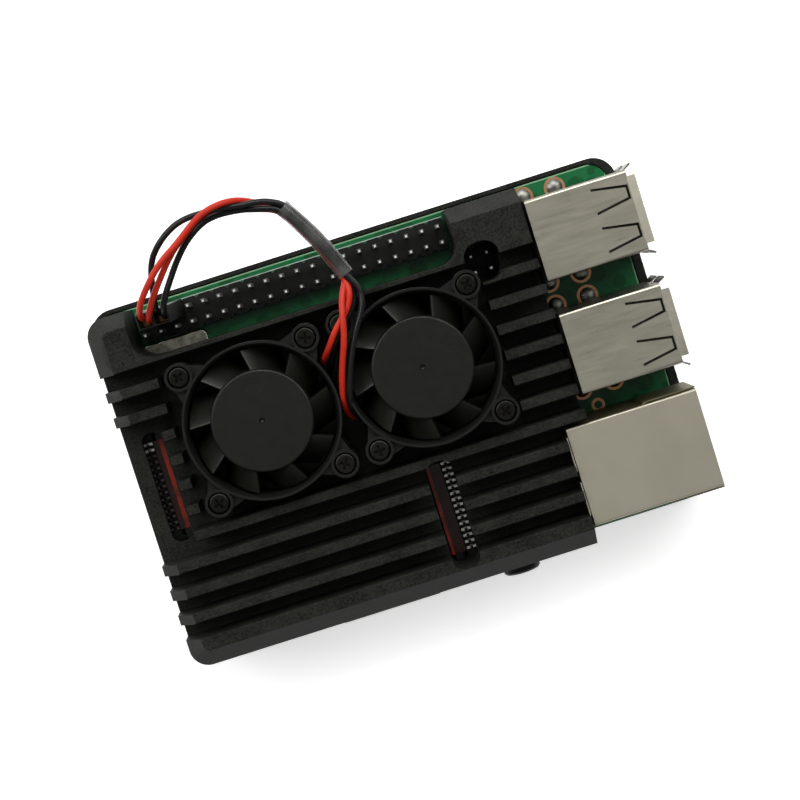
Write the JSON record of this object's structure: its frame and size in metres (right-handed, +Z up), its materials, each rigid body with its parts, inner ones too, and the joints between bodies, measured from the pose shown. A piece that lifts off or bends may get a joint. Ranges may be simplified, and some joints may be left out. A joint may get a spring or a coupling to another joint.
{
  "type": "single board computer",
  "caption": "Single board computer clamped in a finned black metal heatsink case with two small cooling fans wired to its pin header.",
  "frame": {"origin": "middle of the case's underside, at the centre of the overall box without the fan leads", "axes": "+X along the board towards the USB ports, +Y across the board towards the pin header, +Z up out of the fans"},
  "size_m": [0.0878, 0.0694, 0.0319],
  "materials": {
    "anodised_black": "fine matt black anodising on bead-blasted aluminium",
    "screw_steel": "dull zinc plate",
    "board_green": "satin green solder mask over glass laminate",
    "header_black": "moulded, satin",
    "pin_tin": "bright tin plate",
    "chip_black": "moulded, matt",
    "chip_lid": "satin nickel plate",
    "pad_grey": "soft, matt",
    "shield_steel": "satin pressed steel",
    "network_steel": "matt tinned steel",
    "usb_black": "moulded, satin",
    "contact_gold": "gold plate",
    "lamp_clear": "clear light pipe",
    "copper": "bare tinned copper",
    "solder": "bright solder",
    "capacitor_tan": "ceramic, satin",
    "lamp_white": "moulded lens",
    "film_amber": "amber polyimide film",
    "connector_black": "moulded, matt",
    "latch_black": "moulded, satin",
    "fan_black": "moulded, satin",
    "rotor_black": "moulded, fine matt",
    "shaft_steel": "ground steel",
    "magnet_grey": "bonded ferrite",
    "bearing_bronze": "sintered bronze",
    "winding_copper": "enamelled copper",
    "wire_red": "satin vinyl",
    "wire_black": "satin vinyl",
    "sleeve_clear": "clear heat-shrink tube",
    "plug_black": "moulded, matt",
    "crimp_gold": "flash gold plate"
  },
  "bodies": {
    "computer": {"audio_contacts": "contact_gold", "audio_jack": "usb_black", "black_lead_1": "wire_black", "black_lead_2": "wire_black", "camera_connector": "connector_black", "camera_contacts": "pin_tin", "card_socket": "shield_steel", "case_screws": "screw_steel", "circuit_board": "board_green", "copper_rings": "copper", "display_connector": "connector_black", "display_contacts": "pin_tin", "fan_bearings": "bearing_bronze", "fan_frame_1": "fan_black", "fan_frame_2": "fan_black", "fan_screws": "screw_steel", "fan_stators": "winding_copper", "gpio_header_base": "header_black", "gpio_header_pins": "pin_tin", "lead_sleeve": "sleeve_clear", "lower_heatsink": "anodised_black", "main_processor": "chip_lid", "memory_chip": "chip_black", "network_chip": "chip_black", "network_contacts": "contact_gold", "network_insert": "usb_black", "network_lamps": "lamp_clear", "network_shield": "network_steel", "plug_crimps": "crimp_gold", "plug_housing": "plug_black", "power_header_base": "header_black", "power_header_pins": "pin_tin", "power_insert": "usb_black", "power_shell": "shield_steel", "radio_shield": "shield_steel", "red_lead_1": "wire_red", "red_lead_2": "wire_red", "solder_joints": "solder", "status_lights": "lamp_white", "surface_parts": "capacitor_tan", "thermal_pads": "pad_grey", "upper_heatsink": "anodised_black", "usb_contacts_1": "contact_gold", "usb_contacts_2": "contact_gold", "usb_insert_1": "usb_black", "usb_insert_2": "usb_black", "usb_shell_1": "shield_steel", "usb_shell_2": "shield_steel", "video_insert": "usb_black", "video_shell": "shield_steel"},
    "rotor_1": {"fan_rotor_1": "rotor_black", "fan_shaft_1": "shaft_steel", "fan_magnet_1": "magnet_grey"},
    "rotor_2": {"fan_rotor_2": "rotor_black", "fan_shaft_2": "shaft_steel", "fan_magnet_2": "magnet_grey"},
    "camera_lock": {"camera_latch": "latch_black", "camera_film": "film_amber"},
    "display_lock": {"display_latch": "latch_black", "display_film": "film_amber"}
  },
  "joints": [
    {"name": "fan_1_spin", "type": "hinge", "parent": "computer", "child": "rotor_1", "pos_m": [-0.0209, 0.0066, 0.0208], "axis": [0, 0, 1], "continuous": true},
    {"name": "fan_2_spin", "type": "hinge", "parent": "computer", "child": "rotor_2", "pos_m": [0.00465, 0.00695, 0.0208], "axis": [0, 0, 1], "continuous": true},
    {"name": "camera_latch_lift", "type": "slide", "parent": "computer", "child": "camera_lock", "axis": [0, 0, 1], "range_m": [0, 0.001]},
    {"name": "display_latch_lift", "type": "slide", "parent": "computer", "child": "display_lock", "axis": [0, 0, 1], "range_m": [0, 0.001]}
  ]
}
